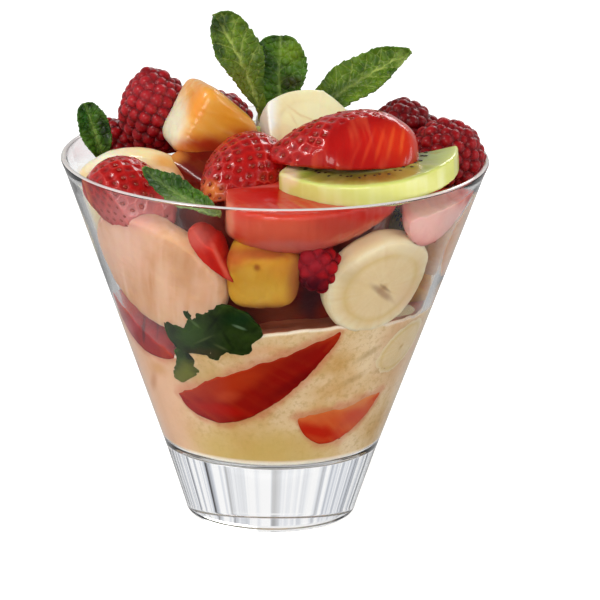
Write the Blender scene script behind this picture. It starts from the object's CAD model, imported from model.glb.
"""Looks of the fruit cup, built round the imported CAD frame: glass, cream, fruit, leaves, light and camera.

Blender 4.5 script. Shapes are worked out in millimetres in the frame of the CAD part and written to the
meshes in metres. +Z is up, the front faces -Y, and azimuths are measured from -Y towards +X.
"""

import math

import bpy
import numpy as np
from mathutils import Matrix, Vector


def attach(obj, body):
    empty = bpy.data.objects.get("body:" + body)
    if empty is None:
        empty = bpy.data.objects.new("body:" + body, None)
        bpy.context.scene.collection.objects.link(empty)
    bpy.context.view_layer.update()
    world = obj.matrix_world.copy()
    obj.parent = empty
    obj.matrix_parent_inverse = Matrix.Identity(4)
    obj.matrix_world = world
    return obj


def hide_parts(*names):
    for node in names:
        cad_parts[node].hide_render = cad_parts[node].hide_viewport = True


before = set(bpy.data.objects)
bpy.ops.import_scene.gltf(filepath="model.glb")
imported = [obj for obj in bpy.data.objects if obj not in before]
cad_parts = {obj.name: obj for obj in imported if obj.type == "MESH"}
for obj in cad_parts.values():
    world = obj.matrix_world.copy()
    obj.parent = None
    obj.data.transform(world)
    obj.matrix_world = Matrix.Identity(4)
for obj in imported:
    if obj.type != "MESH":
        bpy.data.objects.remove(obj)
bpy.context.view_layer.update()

METRES_PER_MM = 0.001

# The glass, as in the CAD part, in millimetres.
RIM_RADIUS = 52.5
GLASS_HEIGHT = 90.8
FOOT_RADIUS = 20.8
SHOULDER_HEIGHT = 16.0
SHOULDER_RADIUS = 26.0
WALL = 1.8
FLOOR_HEIGHT = 18.0
FLOOR_FILLET = 3.0
FOOT_BEVEL = 1.2
SLOPE = math.atan((RIM_RADIUS - SHOULDER_RADIUS) / (GLASS_HEIGHT - SHOULDER_HEIGHT))

# Contents. What touches the glass reaches a little into its wall, so that no film of air shows.
CREAM_LEVEL = 56.5
CREAM_DIP = 8.5
CREAM_DIP_AZIMUTH = -46.0
CREAM_DIP_WIDTH = 20.0
CORE_TOP = 92.0
CORE_INSET = 15.0
CREAM_REACH = 0.12
FRUIT_REACH = 0.36
RIM_REACH = 52.2  # how far out a piece may lie above the rim
LEAF_THICKNESS = 0.45
SUNK_THICKNESS = 0.5
RIM_TAPER = 0.5  # how much thinner the wall is at the rim
TAPER_HEIGHT = 58.5  # where the wall begins to thin

# The camera, in metres and degrees, for a 600 x 600 picture.
CAMERA_TARGET = np.array([0.0, 0.0, 0.05])
CAMERA_DISTANCE = 1.0
CAMERA_ELEVATION = 16.4
CAMERA_ROLL = 0.71
CAMERA_LENS = 242.16
CAMERA_SENSOR = 36.0
CAMERA_SHIFT = (0.045, 0.024)
PICTURE_SIZE = 600

# Pieces that lie against the glass: name, kind, azimuth and height of the middle on the inner wall, turn in
# the wall (degrees, anticlockwise from outside), length, width and depth from the glass inwards.
WALL_PIECES = [
    ("strawberry_in_cream_front", "wall_strawberry", -10.5, 47.0, 26, 48, 27, 12),
    ("strawberry_in_cream_right", "wall_strawberry", 33, 35.2, 10, 24, 21, 9),
    ("strawberry_on_cream_left", "wall_strawberry", -57, 53.5, -33, 25, 17, 8),
    ("peach_wedge_left", "wall_pad", -43, 69.0, -14, 42, 31, 10),
    ("strawberry_slice_left", "wall_strawberry", -16.5, 77.6, -58, 19, 9, 8),
    ("mango_in_glass", "wall_chunk", -3.5, 70.0, -6, 19, 17, 12),
    ("banana_slice_right", "wall_disc", 37, 67.4, 8, 31, 27.5, 6.5),
    ("banana_slice_in_cream", "wall_disc", 58, 48.5, 30, 22, 15, 6),
    ("strawberry_under_kiwi", "wall_strawberry", 56, 86.0, 4, 27, 20, 8),
    ("peach_side_right", "wall_pad", 78, 74.0, 86, 24, 22, 9),
    ("mango_side_right", "wall_chunk", 90, 56.5, 8, 19, 10, 10),
    ("banana_side_left", "wall_disc", -98, 72.0, 5, 28, 26, 7),
    ("mango_side_left", "wall_chunk", -100, 51.5, -12, 18, 10, 10),
    ("kiwi_in_glass_back", "wall_disc", 116, 72.0, -10, 34, 26, 6.5),
    ("strawberry_back_right", "wall_strawberry", 124, 54.0, -8, 27, 21, 10),
    ("peach_wedge_back", "wall_pad", 155, 71.0, 10, 32, 27, 10),
    ("strawberry_back_low", "wall_strawberry", 164, 52.0, 14, 28, 20, 10),
    ("strawberry_back", "wall_strawberry", 187, 75.0, 74, 29, 27, 10),
    ("mango_back", "wall_chunk", 211, 70.5, 7, 17, 20, 12),
    ("banana_slice_back", "wall_disc", 237, 72.0, 12, 27, 25, 7),
    ("strawberry_back_left", "wall_strawberry", 222, 52.5, -16, 27, 20, 10),
    ("strawberry_in_cream_back", "wall_strawberry", 190, 34.5, -22, 30, 22, 9),
    ("strawberry_in_cream_side", "wall_strawberry", 110, 36.0, 24, 24, 20, 9),
    ("strawberry_in_cream_left", "wall_strawberry", -98, 36.5, 16, 24, 19, 9),
]

# Pieces heaped in the middle and over the rim: name, kind, position, the way their long axis points (a
# berry's tip), the way their flat face looks, and size.
HEAP_PIECES = [
    ("kiwi_slice", "disc", (21.0, -19.5, 92.2), (1, 0, 0.07), (-0.07, -0.02, 1), (47, 47, 5.8)),
    ("strawberry_half_top", "strawberry", (16.0, -21.5, 95.2), (-1, -0.1, 0), (0.04, 0, -1), (39, 24)),
    ("mango_chunk_top", "chunk", (-15.4, -2.5, 98.4), (0.82, 0.31, -0.44), (0.4, 0.15, 0.88), (19, 17, 16)),
    ("banana_wedge_top", "disc", (7.5, -2.5, 94.6), (0.9, 0.1, -0.35), (0.12, -0.72, 0.68), (27, 25, 11)),
    ("raspberry_top_left", "raspberry", (-29.6, 7.0, 100.0), (-0.15, 0.1, 1), (0, -1, 0), (21, 18.5)),
    ("raspberry_rim_left", "raspberry", (-38.5, 14.0, 89.5), (-0.5, -0.3, 0.8), (0, -1, 0), (15, 13)),
    ("raspberry_right_front", "raspberry", (42.0, -4.0, 92.6), (0.2, -0.5, 0.8), (1, 0, 0), (17, 19.5)),
    ("raspberry_right_back", "raspberry", (31.5, 9.0, 94.8), (-0.2, -0.3, 0.9), (1, 0, 0), (17, 18)),
    ("strawberry_half_front", "strawberry", (8.0, -34.5, 90.0), (1, 0.02, 0), (0, -0.10, 1), (46, 29)),
    ("strawberry_piece_centre", "strawberry", (-8, -21.5, 90), (-5, -6, -2), (0.1, 0.2, -1), (28, 20)),
    ("strawberry_rim_left", "strawberry", (-34.0, -25.0, 84.5), (0.8, -0.5, -0.2), (0.2, 0.5, -1), (26, 21)),
    ("peach_slice_left", "crescent", (-31.0, -12.5, 85.3), (0.94, -0.3, -0.1), (0, -0.1, 1), (35, 11, 8.5)),
    ("mango_chunk_centre", "chunk", (-16.5, -13.5, 87.5), (0.7, -0.6, -0.2), (0.1, -0.3, 1), (16, 14, 13)),
    ("raspberry_in_glass", "raspberry", (9.8, -38.6, 74.0), (0.1, -0.3, -1), (0, -1, 0.3), (13, 12)),
    ("kiwi_slice_back", "disc", (-5.0, 28.0, 88.8), (1, 0, 0.05), (-0.08, 0.2, 1), (39, 39, 5.8)),
    ("strawberry_half_back", "strawberry", (-29.0, 27.0, 86.0), (-0.5, 0.8, -0.1), (0, 0, -1), (29, 22)),
    ("mango_chunk_back", "chunk", (23.5, 28.0, 87.5), (0.7, 0.5, -0.1), (0, 0.1, 1), (18, 14, 13)),
    ("raspberry_back", "raspberry", (-13.0, 15.0, 94.5), (-0.2, 0.3, 1), (0, 1, 0), (17, 16)),
    ("strawberry_half_right", "strawberry", (40.0, 17.5, 84.5), (0.7, 0.7, 0), (0.1, 0, -1), (26, 20)),
    ("raspberry_back_rim", "raspberry", (10.0, 41.0, 86.5), (0.1, 0.8, 0.5), (0, 0, 1), (16, 15)),
    ("banana_slice_top_back", "disc", (8.5, 16.5, 92.5), (1, 0, 0), (0.05, 0.55, 0.85), (28, 25, 9)),
]

# Flat cuts that some of the heaped pieces have: a point on each and the way it looks.
CUTS = {
    "kiwi_slice": [((1.2, -30.0, 92.0), (-0.95, 0.3, 0)), ((42.0, -17.5, 92.0), (-0.12, 1, 0))],
    "strawberry_half_top": [((11.3, -31.5, 100.3), (0.2, -0.835, 0.51))],
    "banana_wedge_top": [((-2.6, -4.0, 98.0), (-0.98, -0.2, 0))],
    "strawberry_half_front": [((-11.4, -40.0, 85.0), (-1, -0.05, 0))],
    "banana_slice_top_back": [((16.0, 16.0, 93.0), (1, 0.2, 0))],
}

# Where strawberries show flesh instead of skin: beyond a plane, given by a point and the way it looks.
PEELED = {
    "strawberry_half_top": ((11.1, -31.5, 99.9), (0.42, -0.12, -0.9)),
    "strawberry_half_front": ((8.0, -34.5, 60.0), (0, 0, 1)),
}

# Mint leaves: name, base, tip, normal at the middle, width, where along it the leaf is widest, arch along
# the leaf and cup across it.
LEAVES = [
    ("mint_leaf_tall", (-3.6, 6.0, 97.5), (-15.4, 2.0, 125.2), (0.6, -0.75, 0.25), 13.0, 0.68, 2.5, 1.4),
    ("mint_leaf_middle", (1.4, 9.0, 97.5), (1.0, 13.5, 117.6), (-0.2, -0.95, 0.25), 14.5, 0.60, 2.0, 1.6),
    ("mint_leaf_right", (7.5, 9.5, 97.5), (33.4, 14.0, 113.6), (-0.35, -0.75, 0.55), 11.5, 0.50, 2.0, 2.0),
    ("mint_leaf_far_left", (-42.0, 2.5, 87.5), (-47.0, 2.5, 102.6), (0.25, -0.95, 0.2), 7.5, 0.58, 1.5, 1.6),
    ("mint_leaf_rim_left", (-12.5, -43, 86.5), (-31.2, -33.5, 95.2), (0.1, -0.5, 0.86), 8, 0.55, -1.5, 1),
    ("mint_leaf_back", (2.0, 20.5, 95.5), (-5.5, 33.0, 104.5), (0.1, 0.75, 0.65), 12.0, 0.45, 2.5, 1.8),
]

# Mint leaves pressed to the glass in the cream: name, azimuth, height, turn, length and width.
SUNK_LEAVES = [
    ("mint_in_cream", -22.5, 55.4, 12, 25, 14.5),
    ("mint_in_cream_small", -38.0, 45.4, 66, 11.5, 6.5),
    ("mint_in_cream_back", 150, 39.0, -20, 24, 12),
]


# Numbers and noise


def smoothstep(low, high, value):
    share = np.clip((value - low) / (high - low), 0.0, 1.0)
    return share * share * (3 - 2 * share)


def smooth_max(first, second, rounding):
    """The greater of two fields, blended where they are close, which rounds the edge between them."""
    near = np.maximum(rounding - np.abs(first - second), 0.0) / rounding
    return np.maximum(first, second) + near * near * rounding / 4


def lattice(x, y, z, seed):
    """A repeatable random number from 0 to 1 for each whole-numbered point."""
    mixed = (x * 73856093) ^ (y * 19349663) ^ (z * 83492791) ^ (seed * 26544357)
    mixed = ((mixed ^ (mixed >> 13)) & 0xFFFFFFFF) * 1274126177 & 0xFFFFFFFF
    mixed = ((mixed ^ (mixed >> 15)) * 668265263) & 0xFFFFFFFF
    return ((mixed >> 8) & 0xFFFF) / 65535.0


def noise(points, size, seed=0):
    """Smooth noise from -1 to 1 whose lumps are about the size wide, which may differ by axis."""
    scaled = points / np.asarray(size, float)
    cell = np.floor(scaled).astype(np.int64)
    part = scaled - cell
    part = part * part * (3 - 2 * part)
    total = np.zeros(len(points))
    for corner in range(8):
        step = np.array([corner & 1, corner >> 1 & 1, corner >> 2 & 1])
        weight = np.prod(np.where(step, part, 1 - part), axis=1)
        total += weight * lattice(*(cell + step).T, seed)
    return total * 2 - 1


def layered_noise(points, size, seed=0, layers=3):
    total = sum(noise(points, np.asarray(size, float) / 2**k, seed + k) / 2**k for k in range(layers))
    return total / (2 - 2 / 2**layers)


def camera_axes():
    """Right, up and back of the camera."""
    elevation, roll = math.radians(CAMERA_ELEVATION), math.radians(CAMERA_ROLL)
    back = np.array([0.0, -math.cos(elevation), math.sin(elevation)])
    right = np.array([1.0, 0.0, 0.0])
    up = np.cross(back, right)
    return right * math.cos(roll) + up * math.sin(roll), up * math.cos(roll) - right * math.sin(roll), back


def seen_at(points):
    """Where the photograph shows the points: pixels from its left and from its top."""
    right, up, back = camera_axes()
    offset = points * METRES_PER_MM - CAMERA_TARGET
    scale = PICTURE_SIZE * CAMERA_LENS / CAMERA_SENSOR / (CAMERA_DISTANCE - offset @ back)
    across = PICTURE_SIZE * (0.5 - CAMERA_SHIFT[0]) + offset @ right * scale
    down = PICTURE_SIZE * (0.5 + CAMERA_SHIFT[1]) - offset @ up * scale
    return across, down


def row_lengths(vectors):
    return np.linalg.norm(vectors, axis=-1)


def unit(vector):
    vector = np.asarray(vector, float)
    return vector / np.linalg.norm(vector)


def columns(*values):
    """Points, or other rows, from their columns. A plain number fills its column."""
    return np.stack(np.broadcast_arrays(*values), axis=-1)


# Meshes


def grid_quads(place):
    """The quads between neighbours in a table of point numbers."""
    return np.stack([place[:-1, :-1], place[1:, :-1], place[1:, 1:], place[:-1, 1:]], axis=-1).reshape(-1, 4)


def quad_sphere(count):
    """Directions spread evenly over a ball, with count steps along a sixth of it, and the quads between."""
    first, second = np.meshgrid(np.arange(count + 1), np.arange(count + 1), indexing="ij")
    points, quads = [], []
    for axis in range(3):
        for side in (0, count):
            face = np.empty((count + 1, count + 1, 3), int)
            face[..., axis] = side
            face[..., (axis + 1) % 3] = first
            face[..., (axis + 2) % 3] = second
            corner = len(points) * (count + 1) ** 2 + np.arange((count + 1) ** 2).reshape(count + 1, -1)
            quads.append(grid_quads(corner)[:, :: 1 if side else -1])
            points.append(face.reshape(-1, 3))
    points = np.concatenate(points)
    keys = points @ np.array([1, count + 1, (count + 1) ** 2])
    _, kept, place = np.unique(keys, return_index=True, return_inverse=True)
    spread = np.tan((2 * points[kept] / count - 1) * math.pi / 4)
    return spread / row_lengths(spread)[:, None], place.reshape(-1)[np.concatenate(quads)]


def cast(field, centre, spread, directions):
    """Points where rays from the centre leave the solid, whose field is negative inside it."""
    reach = directions * np.asarray(spread, float)
    low, high = np.zeros(len(directions)), np.full(len(directions), 2.5)
    for _ in range(20):
        middle = (low + high) / 2
        outside = field(centre + reach * middle[:, None]) > 0
        high = np.where(outside, middle, high)
        low = np.where(outside, low, middle)
    return centre + reach * low[:, None]


def normals_of(points, quads):
    corner = points[quads]
    across = np.cross(corner[:, 2] - corner[:, 0], corner[:, 3] - corner[:, 1])
    total = np.empty_like(points)
    for axis in range(3):
        weights = np.repeat(across[:, axis], 4)
        total[:, axis] = np.bincount(quads.reshape(-1), weights=weights, minlength=len(points))
    return total / np.maximum(row_lengths(total), 1e-12)[:, None]


def turned(radii, heights, steps):
    """A closed skin of revolution: its points, its quads and the two many-sided faces at its ends. The
    profile runs down the outer side, and its ends are near the axis."""
    angle = np.arange(steps) * math.tau / steps
    level = np.asarray(heights, float)[:, None]
    points = columns(np.outer(radii, np.sin(angle)), -np.outer(radii, np.cos(angle)), level).reshape(-1, 3)
    place = np.arange(len(radii) * steps).reshape(len(radii), steps)
    beside = np.roll(place, -1, axis=1)
    quads = np.stack([place[:-1], place[1:], beside[1:], beside[:-1]], axis=-1).reshape(-1, 4)
    return points, quads, [list(place[0]), list(place[-1][::-1])]


def grid_solid(top, bottom, rows, columns):
    """A closed thin solid between two grids of points that share their outline's order."""
    place = np.arange(rows * columns).reshape(rows, columns)
    upper = grid_quads(place)
    edge = np.concatenate([place[:, 0], place[-1, 1:], place[-2::-1, -1], place[0, -2:0:-1]])
    after = np.roll(edge, -1)
    low = rows * columns
    side = np.stack([edge, edge + low, after + low, after], axis=-1)
    return np.concatenate([top, bottom]), np.concatenate([upper, upper[:, ::-1] + low, side])


def add_mesh(name, points, quads, attributes, material, caps=()):
    """A smooth mesh object in metres that rides on the part and stands for the CAD node of its name."""
    colour, cover = brushed(name, points)
    cover = cover * (1 - attributes.get("seed", 0))
    attributes = attributes | {"paint": colour, "painted": cover}
    mesh = bpy.data.meshes.new(name)
    corners = np.concatenate([quads.reshape(-1), *[np.array(cap) for cap in caps]]).astype(np.int32)
    sizes = np.concatenate([np.full(len(quads), 4), [len(cap) for cap in caps]]).astype(np.int32)
    mesh.vertices.add(len(points))
    mesh.vertices.foreach_set("co", (points * METRES_PER_MM).astype(np.float32).reshape(-1))
    mesh.loops.add(len(corners))
    mesh.loops.foreach_set("vertex_index", corners)
    mesh.polygons.add(len(sizes))
    mesh.polygons.foreach_set("loop_start", (np.cumsum(sizes) - sizes).astype(np.int32))
    mesh.update(calc_edges=True)
    mesh.validate()
    for key, values in attributes.items():
        kind = "FLOAT_VECTOR" if np.ndim(values) == 2 else "FLOAT"
        channel = "vector" if np.ndim(values) == 2 else "value"
        made = mesh.attributes.new(key, kind, "POINT")
        made.data.foreach_set(channel, np.asarray(values, np.float32).reshape(-1))
    mesh.materials.append(material)
    mesh.shade_smooth()
    piece = bpy.data.objects.new(name + "_look", mesh)
    bpy.context.scene.collection.objects.link(piece)
    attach(piece, "root")
    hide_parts(name)
    return piece


def joined(body, seeds):
    """A piece and its seeds made one: points, quads and attributes, which are 0 where one has none."""
    attributes = {}
    for key in body[2] | seeds[2]:
        parts = [part[2].get(key, np.zeros(len(part[0]))) for part in (body, seeds)]
        attributes[key] = np.concatenate(parts)
    quads = np.concatenate([body[1], seeds[1] + len(body[0])])
    return np.concatenate([body[0], seeds[0]]), quads, attributes


# The glass and what lies against it


def outer_radius(z):
    rise = (z - SHOULDER_HEIGHT) / (GLASS_HEIGHT - SHOULDER_HEIGHT)
    upper = SHOULDER_RADIUS + (RIM_RADIUS - SHOULDER_RADIUS) * rise
    lower = FOOT_RADIUS + (SHOULDER_RADIUS - FOOT_RADIUS) * z / SHOULDER_HEIGHT
    return np.where(z < SHOULDER_HEIGHT, lower, upper)


def inner_radius(z):
    return outer_radius(z) - WALL / math.cos(SLOPE)


def inside_radius(z):
    """The glass's inside as it looks: the wall thins towards the rim."""
    return inner_radius(z) + RIM_TAPER * np.clip((z - TAPER_HEIGHT) / (GLASS_HEIGHT - TAPER_HEIGHT), 0.0, 1.0)


def on_wall(points, azimuth, height, turn, reach):
    """Lays flat points on the inside of the glass: X to the right as seen from outside, Y up, Z inwards."""
    turn = math.radians(turn)
    across = points[:, 0] * math.cos(turn) - points[:, 1] * math.sin(turn)
    up = points[:, 0] * math.sin(turn) + points[:, 1] * math.cos(turn)
    inwards = np.maximum(points[:, 2], 0.0) - reach
    angle = math.radians(azimuth) + across / float(inner_radius(height))
    level = height + up * math.cos(SLOPE)
    radius = inside_radius(level) - inwards * math.cos(SLOPE)
    level = level + inwards * math.sin(SLOPE)
    return columns(radius * np.sin(angle), -radius * np.cos(angle), level)


def kept_in_glass(points, reach=FRUIT_REACH):
    """Presses what would pass through the wall flat against it, and keeps what is above the rim over it."""
    ring = np.hypot(points[:, 0], points[:, 1])
    over = smoothstep(GLASS_HEIGHT - 0.2, GLASS_HEIGHT + 1.6, points[:, 2])
    wall = inside_radius(np.minimum(points[:, 2], GLASS_HEIGHT)) + reach
    limit = wall + (RIM_REACH - wall) * over
    kept = -smooth_max(-ring, -limit, 0.7)
    scale = np.minimum(kept, limit) / np.maximum(ring, 1e-6)
    return points * columns(scale, scale, 1.0)


def cream_level(azimuth):
    """Height at which the cream meets the glass, by azimuth in degrees."""
    off = (azimuth - CREAM_DIP_AZIMUTH + 180.0) % 360.0 - 180.0
    dip = CREAM_DIP * np.exp(-((off / CREAM_DIP_WIDTH) ** 2))
    ripple = 1.2 * np.sin(np.radians(2 * azimuth + 30)) + 0.6 * np.sin(np.radians(5 * azimuth))
    return CREAM_LEVEL - dip + ripple


# Strawberries


def berry_profile(share):
    """Radius of a strawberry, as a share of its greatest, from its stem (0) to its tip (1)."""
    shoulder = 0.36
    stem = np.sqrt(np.maximum(0.0, 1 - (1 - np.minimum(share, shoulder) / shoulder) ** 2))
    slope = np.clip((share - shoulder) / (1 - shoulder), 0.0, 1.0)
    return np.where(share < shoulder, stem, np.cos(slope * math.pi / 2) ** 0.72)


def berry_radius(x, length, width):
    return width / 2 * berry_profile(np.clip(x / length + 0.5, 0.0, 1.0))


def berry_field(points, length, width):
    ring = np.hypot(points[:, 1], points[:, 2])
    beyond = np.maximum(np.abs(points[:, 0]) - length / 2, 0.0)
    return ring - berry_radius(points[:, 0], length, width) + beyond


def achene_places(length, width, spacing):
    """Evenly spread places on a strawberry's skin, in one spiral from the stem to the tip."""
    share = np.linspace(0.05, 0.985, 600)
    reached = np.cumsum(math.tau * width / 2 * berry_profile(share)) * length * (share[1] - share[0])
    count = int(reached[-1] / spacing**2)
    share = np.interp((np.arange(count) + 0.5) / count * reached[-1], reached, share)
    angle = np.arange(count) * math.pi * (3 - math.sqrt(5))
    radius = width / 2 * berry_profile(share)
    return columns(length * (share - 0.5), radius * np.cos(angle), radius * np.sin(angle))


def nearest_two(points, places):
    """Distance of each point to the nearest and the next nearest of the places."""
    squares = (points**2).sum(1)[:, None] + (places**2).sum(1)[None] - 2 * points @ places.T
    squares.partition(1, axis=1)
    return np.sqrt(np.maximum(squares[:, :2], 0.0)).T


ACHENE_BALL = quad_sphere(3)
ACHENE_SIZE = np.array([0.62, 0.38, 0.24])
ACHENE_SPACING = 2.45
ACHENE_SHIFT = 0.42  # how far each may lie from its even place
PIT_DEPTH = 0.34
PIT_RADIUS = 0.9


def achenes(places, outwards, along):
    """Small seeds lying in the skin at the places."""
    directions, quads = ACHENE_BALL
    third = np.cross(outwards, along)
    third /= np.maximum(row_lengths(third), 1e-9)[:, None]
    ahead = np.cross(third, outwards)
    shape = directions * ACHENE_SIZE
    points = places[:, None] + shape[:, :1] * ahead[:, None] + shape[:, 1:2] * third[:, None]
    points = points + shape[:, 2:] * outwards[:, None]
    starts = np.arange(len(places)) * len(directions)
    return points.reshape(-1, 3), (quads[None] + starts[:, None, None]).reshape(-1, 4)


def strawberry_surface(points, quads, length, width, cut_field, seed, peeled=None):
    """Gives a cut strawberry its pits, achenes and flesh fibres, and no skin where the peeled field is over
    0."""
    cut = cut_field(points)
    on_skin = smoothstep(-0.55, -0.1, berry_field(points, length, width) - 0.35 * smoothstep(-1.5, 0, cut))
    on_skin *= 1 - smoothstep(-0.5, -0.05, cut)
    if peeled:
        on_skin *= 1 - smoothstep(-0.3, 0.5, peeled(points) + 0.7 * noise(points, 1.7, seed + 8))
    places = achene_places(length, width, ACHENE_SPACING)
    places = places + np.random.default_rng(seed).uniform(-ACHENE_SHIFT, ACHENE_SHIFT, places.shape)
    near, next_near = nearest_two(points, places)
    pit = np.exp(-((near / PIT_RADIUS) ** 2)) * on_skin
    net = (1 - smoothstep(0.0, 0.5, next_near - near)) * on_skin
    net = net * smoothstep(-0.45, 0.5, noise(points, 2.2, seed + 4))
    ring = np.hypot(points[:, 1], points[:, 2])
    rim = np.clip(ring / np.maximum(berry_radius(points[:, 0], length, width), 0.3), 0.0, 1.0)
    bundle = points[:, 0] - 0.62 * ring
    turn = np.arctan2(points[:, 2], points[:, 1])
    fibre_place = columns(bundle, turn * 2.0, 0.0)
    fibre = 0.65 * noise(fibre_place, (1.5, 1.2, 1), seed)
    fibre += 0.35 * noise(fibre_place, (0.6, 1.2, 1), seed + 9)
    flesh = 1 - on_skin
    normals = normals_of(points, quads)
    lift = -PIT_DEPTH * pit + 0.12 * net + 0.05 * layered_noise(points, 1.2, seed + 3) * on_skin
    lift += flesh * (0.16 * fibre * smoothstep(0.15, 0.6, rim) + 0.16 * layered_noise(points, 5.0, seed + 5))
    shaped = points + normals * lift[:, None]
    stem = 1 - smoothstep(0.02, 0.16, points[:, 0] / length + 0.5)
    body = {"skin": on_skin, "rim": rim, "fibre": fibre, "pit": pit, "net": net, "pale": stem}
    kept = cut_field(places) < -0.35
    if peeled:
        kept &= peeled(places) < -1.0
    places = places[kept]
    outwards = places * np.array([0.0, 1.0, 1.0])
    outwards[:, 0] = np.interp(places[:, 0] / length, [-0.5, -0.14, 0.2, 0.5], [-6, 0, 0.25 * width / 2, 8])
    outwards /= row_lengths(outwards)[:, None]
    along = np.tile([1.0, 0.0, 0.0], (len(places), 1))
    seed_points, seed_quads = achenes(places - outwards * (PIT_DEPTH - 0.02), outwards, along)
    seeds = {key: np.ones(len(seed_points)) for key in ("seed", "skin", "rim")}
    return joined((shaped, quads, body), (seed_points, seed_quads, seeds))


# Cut fruit


def disc_field(points, length, width, depth, corners, facet, bevel):
    """A slice whose outline is between an oval and a polygon, its faces across Z."""
    angle = np.arctan2(points[:, 1] / width, points[:, 0] / length)
    ring = 2 * np.hypot(points[:, 0] / length, points[:, 1] / width)
    sector = math.pi / corners
    off = (angle + math.pi / 2 + sector) % (2 * sector) - sector
    outline = 1 + facet * (math.cos(sector) / np.cos(off) - 1)
    side = (ring - outline) * min(length, width) / 2
    return smooth_max(side, np.abs(points[:, 2]) - depth / 2, bevel)


def slice_pattern(points, length, width, seed):
    """Share of the way from a slice's middle to its edge, and noise that runs in rays or down its side."""
    ring = 2 * np.hypot(points[:, 0] / length, points[:, 1] / width)
    angle = np.arctan2(points[:, 1], points[:, 0])
    ray_place = columns(np.cos(angle) * 9, np.sin(angle) * 9, ring * 1.5)
    rays = 0.6 * noise(ray_place, (0.9, 0.9, 1.2), seed)
    rays += 0.4 * noise(ray_place, (0.36, 0.36, 1.2), seed + 4)
    return np.clip(ring, 0, 1), rays


def chunk_planes(length, width, depth, seed, taper):
    """Outward directions and distances of a cut chunk's faces: an uneven box, lower at its +X end."""
    random = np.random.default_rng(seed)
    normals = [(1, 0, 0), (-1, 0, 0), (0, 1, 0), (0, -1, 0), (taper * depth / length, 0, 1), (0, 0, -1)]
    reaches = [length / 2, length / 2, width / 2, width / 2, depth / 2 * (1 - taper / 2), depth / 2]
    tilted = [unit(np.array(normal) + random.uniform(-0.09, 0.09, 3)) for normal in normals]
    return np.array(tilted), np.array(reaches) * random.uniform(0.95, 1.03, 6)


def facet_field(points, planes, sharpness):
    """A convex body of flat faces with edges rounded less the higher the sharpness."""
    normals, reaches = planes
    shares = np.maximum(points @ normals.T / reaches, 0.0)
    return (((shares**sharpness).sum(1)) ** (1 / sharpness) - 1) * reaches.min()


BEAD_SPACING = 2.9
BEAD_INSET = 0.58  # how far in from the outline a bead's middle is, as a share of the spacing


def drupelets(length, width, seed):
    """Centres and radii of a raspberry's beads, spread over its body in one spiral round X."""
    random = np.random.default_rng(seed)
    count = round(math.pi * ((length + width) / 2 - BEAD_SPACING) ** 2 / BEAD_SPACING**2 / 0.86)
    share = 1 - 2 * (np.arange(count) + 0.5) / count
    angle = np.arange(count) * math.pi * (3 - math.sqrt(5))
    body = width / 2 * (1 - 0.2 * np.maximum(0.0, share)) - BEAD_INSET * BEAD_SPACING
    ring = body * np.sqrt(1 - share**2)
    along = share * (length / 2 - BEAD_INSET * BEAD_SPACING)
    centres = columns(along, ring * np.cos(angle), ring * np.sin(angle))
    centres += random.uniform(-0.13, 0.13, centres.shape) * BEAD_SPACING
    return centres, BEAD_SPACING * random.uniform(0.57, 0.68, count)


# Materials


def tint(red, green, blue):
    """A colour given as it looks on screen, 0 to 255, in the linear form that shaders take."""
    shares = np.array([red, green, blue]) / 255
    return (*np.where(shares <= 0.04045, shares / 12.92, ((shares + 0.055) / 1.055) ** 2.4), 1.0)


class Nodes:
    """A node tree, built step by step. Inputs are sockets or plain values."""

    def __init__(self, tree):
        self.tree = tree

    def put(self, socket, value):
        if isinstance(value, bpy.types.NodeSocket):
            self.tree.links.new(value, socket)
        else:
            socket.default_value = value

    def node(self, kind, **settings):
        made = self.tree.nodes.new(kind)
        for key, value in settings.items():
            setattr(made, key, value)
        return made

    def maths(self, operation, first, second=0.5, third=0.5):
        made = self.node("ShaderNodeMath", operation=operation)
        for place, value in enumerate((first, second, third)):
            self.put(made.inputs[place], value)
        return made.outputs[0]

    def mix(self, share, first, second):
        made = self.node("ShaderNodeMix", data_type="RGBA")
        for place, value in ((0, share), (6, first), (7, second)):
            self.put(made.inputs[place], value)
        return made.outputs[2]

    def ramp(self, share, stops):
        made = self.node("ShaderNodeValToRGB")
        elements = made.color_ramp.elements
        while len(elements) < len(stops):
            elements.new(0.5)
        for element, (place, colour) in zip(elements, stops):
            element.position = place
            element.color = colour if hasattr(colour, "__len__") else (colour, colour, colour, 1.0)
        self.put(made.inputs[0], share)
        return made.outputs[0]


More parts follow.
